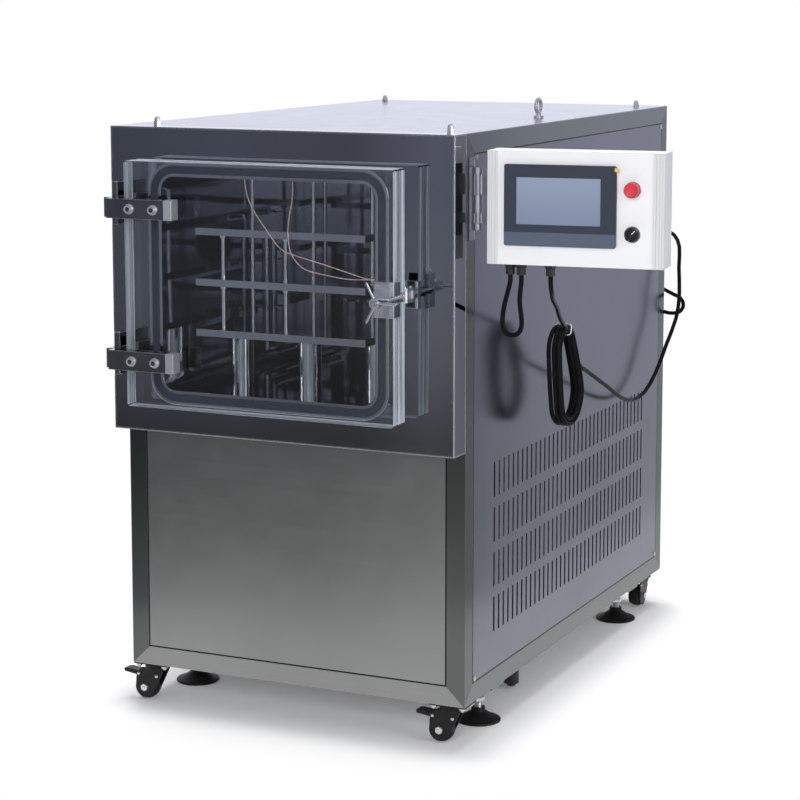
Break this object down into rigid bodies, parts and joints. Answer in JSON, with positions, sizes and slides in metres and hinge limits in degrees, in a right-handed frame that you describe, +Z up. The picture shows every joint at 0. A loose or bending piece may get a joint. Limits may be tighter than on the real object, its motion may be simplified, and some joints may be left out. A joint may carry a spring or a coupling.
{
  "type": "freeze dryer",
  "caption": "Floor-standing laboratory freeze dryer with a shelf chamber behind a clear hinged door, a swing-out control box and a vented machine cabinet on casters.",
  "frame": {"origin": "on the floor, under the middle of the machine's box measured without its free cables", "axes": "front faces -Y, +X to the machine's right, +Z up"},
  "size_m": [1.141, 1.445, 1.222],
  "materials": {
    "stainless": "brushed",
    "side_steel": "satin",
    "top_steel": "satin",
    "mirror_steel": "mirror polished",
    "satin_steel": "satin",
    "bright_steel": "polished",
    "gasket": "matte",
    "sensor_lead": "matte",
    "black_plastic": "satin",
    "black_metal": "semi-gloss",
    "insulation": "matte foam jacket",
    "copper": "satin copper",
    "fin_metal": "finned",
    "cable": "satin",
    "cable_bundle": "satin",
    "acrylic": "clear, polished",
    "rail_grey": "satin",
    "white_paint": "powder coat",
    "touch_black": "satin",
    "grey_plastic": "satin",
    "red_plastic": "gloss",
    "caster_rubber": "matte",
    "foot_rubber": "matte"
  },
  "bodies": {
    "cabinet": {"frame": "stainless", "front_panel": "stainless", "left_panel": "side_steel", "right_panel": "side_steel", "rear_panel": "side_steel", "top_panel": "top_steel", "base_tray": "side_steel", "case_fasteners": "bright_steel", "lifting_eye": "bright_steel", "bonnet": "mirror_steel", "chamber": "mirror_steel", "door_gasket": "gasket", "shelves": "satin_steel", "shelf_supports": "bright_steel", "oil_lines": "bright_steel", "sensor_leads": "sensor_lead", "cable_glands": "black_plastic", "hinge_brackets": "bright_steel", "pivot_pins": "bright_steel", "latch_bracket": "bright_steel", "caster_plates": "black_metal", "cold_trap": "insulation", "pipework": "copper", "compressor": "black_metal", "condenser": "fin_metal", "oil_tank": "satin_steel", "electrical_plate": "satin_steel", "panel_hinge_leaf": "satin_steel", "sensor_cable": "cable", "panel_cable": "cable", "panel_cable_hank": "cable_bundle", "rear_cable": "cable"},
    "door": {"door": "acrylic", "door_fittings": "bright_steel", "door_screws": "bright_steel"},
    "swing_bolt": {"swing_bolt": "bright_steel"},
    "star_handle": {"star_handle": "bright_steel"},
    "control_box": {"panel_case": "rail_grey", "panel_front": "white_paint", "touch_panel": "touch_black", "control_bezels": "grey_plastic", "panel_glands": "black_plastic", "panel_hinge_arm": "satin_steel"},
    "stop_button": {"stop_button": "red_plastic"},
    "selector_knob": {"selector_knob": "black_plastic"},
    "fan": {"fan": "black_metal"},
    "caster_fl": {"caster_fork_fl": "black_metal"},
    "wheel_fl": {"caster_wheel_fl": "caster_rubber"},
    "caster_fr": {"caster_fork_fr": "black_metal"},
    "wheel_fr": {"caster_wheel_fr": "caster_rubber"},
    "caster_rl": {"caster_fork_rl": "black_metal"},
    "wheel_rl": {"caster_wheel_rl": "caster_rubber"},
    "caster_rr": {"caster_fork_rr": "black_metal"},
    "wheel_rr": {"caster_wheel_rr": "caster_rubber"},
    "pedal_fl": {"brake_pedal_fl": "black_metal"},
    "pedal_fr": {"brake_pedal_fr": "black_metal"},
    "foot_fl": {"foot_fl": "foot_rubber"},
    "foot_fr": {"foot_fr": "foot_rubber"},
    "foot_rl": {"foot_rl": "foot_rubber"},
    "foot_rr": {"foot_rr": "foot_rubber"}
  },
  "joints": [
    {"name": "door_swing", "type": "hinge", "parent": "cabinet", "child": "door", "pos_m": [-0.49046, -0.6315, 0.88], "axis": [0, 0, -1], "range_deg": [0, 120]},
    {"name": "bolt_swing", "type": "hinge", "parent": "cabinet", "child": "swing_bolt", "pos_m": [0.10354, -0.5885, 0.881], "axis": [0, 0, 1], "range_deg": [0, 65]},
    {"name": "handle_turn", "type": "hinge", "parent": "swing_bolt", "child": "star_handle", "pos_m": [0.10354, -0.6925, 0.881], "axis": [0, 1, 0], "continuous": true},
    {"name": "control_box_swing", "type": "hinge", "parent": "cabinet", "child": "control_box", "pos_m": [0.20754, -0.4815, 1.045], "axis": [0, 0, 1], "range_deg": [-45, 50]},
    {"name": "stop_button_press", "type": "slide", "parent": "control_box", "child": "stop_button", "axis": [-0.1219, 0.9925, 0], "range_m": [0, 0.004], "stiffness_N_per_m": 500},
    {"name": "selector_turn", "type": "hinge", "parent": "control_box", "child": "selector_knob", "pos_m": [0.51437, -0.4942, 1.003], "axis": [0.1219, -0.9925, 0], "range_deg": [0, 90]},
    {"name": "fan_spin", "type": "hinge", "parent": "cabinet", "child": "fan", "pos_m": [0.08054, -0.0175, 0.311], "axis": [1, 0, 0], "continuous": true},
    {"name": "caster_fl_swivel", "type": "hinge", "parent": "cabinet", "child": "caster_fl", "pos_m": [-0.49846, -0.4875, 0.072], "axis": [0, 0, 1], "continuous": true},
    {"name": "wheel_fl_roll", "type": "hinge", "parent": "caster_fl", "child": "wheel_fl", "pos_m": [-0.51946, -0.4875, 0.027], "axis": [0, 1, 0], "continuous": true},
    {"name": "caster_fr_swivel", "type": "hinge", "parent": "cabinet", "child": "caster_fr", "pos_m": [0.16054, -0.4875, 0.072], "axis": [0, 0, 1], "continuous": true},
    {"name": "wheel_fr_roll", "type": "hinge", "parent": "caster_fr", "child": "wheel_fr", "pos_m": [0.13954, -0.4875, 0.027], "axis": [0, 1, 0], "continuous": true},
    {"name": "caster_rl_swivel", "type": "hinge", "parent": "cabinet", "child": "caster_rl", "pos_m": [-0.49846, 0.6325, 0.072], "axis": [0, 0, 1], "continuous": true},
    {"name": "wheel_rl_roll", "type": "hinge", "parent": "caster_rl", "child": "wheel_rl", "pos_m": [-0.51946, 0.6325, 0.027], "axis": [0, 1, 0], "continuous": true},
    {"name": "caster_rr_swivel", "type": "hinge", "parent": "cabinet", "child": "caster_rr", "pos_m": [0.16054, 0.6325, 0.072], "axis": [0, 0, 1], "continuous": true},
    {"name": "wheel_rr_roll", "type": "hinge", "parent": "caster_rr", "child": "wheel_rr", "pos_m": [0.16054, 0.6115, 0.027], "axis": [1, 0, 0], "continuous": true},
    {"name": "pedal_fl_press", "type": "hinge", "parent": "caster_fl", "child": "pedal_fl", "pos_m": [-0.53446, -0.4875, 0.054], "axis": [0, -1, 0], "range_deg": [0, 18]},
    {"name": "pedal_fr_press", "type": "hinge", "parent": "caster_fr", "child": "pedal_fr", "pos_m": [0.12454, -0.4875, 0.054], "axis": [0, -1, 0], "range_deg": [0, 18]},
    {"name": "foot_fl_adjust", "type": "slide", "parent": "cabinet", "child": "foot_fl", "axis": [0, 0, -1], "range_m": [0, 0.02]},
    {"name": "foot_fr_adjust", "type": "slide", "parent": "cabinet", "child": "foot_fr", "axis": [0, 0, -1], "range_m": [0, 0.02]},
    {"name": "foot_rl_adjust", "type": "slide", "parent": "cabinet", "child": "foot_rl", "axis": [0, 0, -1], "range_m": [0, 0.02]},
    {"name": "foot_rr_adjust", "type": "slide", "parent": "cabinet", "child": "foot_rr", "axis": [0, 0, -1], "range_m": [0, 0.02]}
  ]
}
